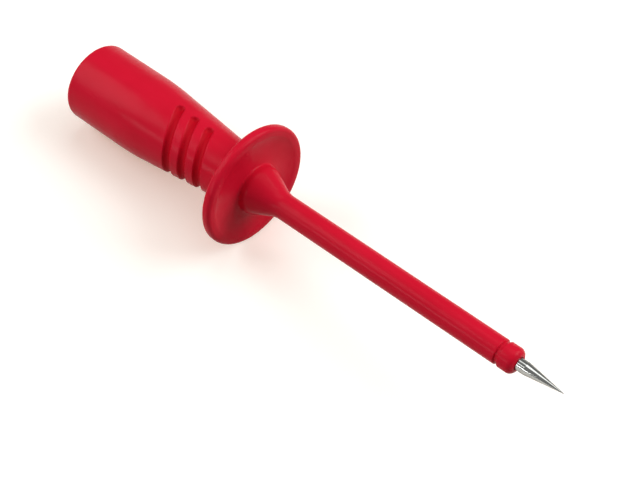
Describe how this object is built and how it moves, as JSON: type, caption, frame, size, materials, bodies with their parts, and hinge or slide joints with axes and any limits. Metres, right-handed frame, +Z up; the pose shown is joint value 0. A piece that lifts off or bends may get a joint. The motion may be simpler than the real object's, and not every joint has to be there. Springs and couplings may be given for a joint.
{
  "type": "test probe",
  "caption": "Slim hand-held test probe: round grip with leaning finger grooves, disc finger guard, long insulated shaft, sprung sharp steel needle and a recessed 4 mm socket at the rear.",
  "frame": {"origin": "centre of the contact sleeve's mouth, 2.5 mm inside the rear rim", "axes": "+X along the probe's axis towards the needle's tip, the grooved side of the grip faces -Y and a little up, +Z up"},
  "size_m": [0.1299, 0.028, 0.028],
  "materials": {
    "red_moulding": "smooth satin moulded plastic",
    "red_insert": "smooth moulded plastic",
    "nickel": "nickel-plated brass, bright",
    "brass": "turned brass",
    "needle_steel": "ground and polished steel",
    "spring_steel": "drawn spring wire"
  },
  "bodies": {
    "handle": {"grip_body": "red_moulding", "socket_insert": "red_insert", "socket_sleeve": "nickel", "contact_rod": "brass", "needle_barrel": "brass", "needle_spring": "spring_steel", "nose_bush": "red_moulding"},
    "sprung_needle": {"needle": "needle_steel"}
  },
  "joints": [
    {"name": "needle_stroke", "type": "slide", "parent": "handle", "child": "sprung_needle", "axis": [-1, 0, 0], "range_m": [0, 0.0015], "stiffness_N_per_m": 300, "springref_m": -0.004, "deforming": ["needle_spring"]}
  ]
}
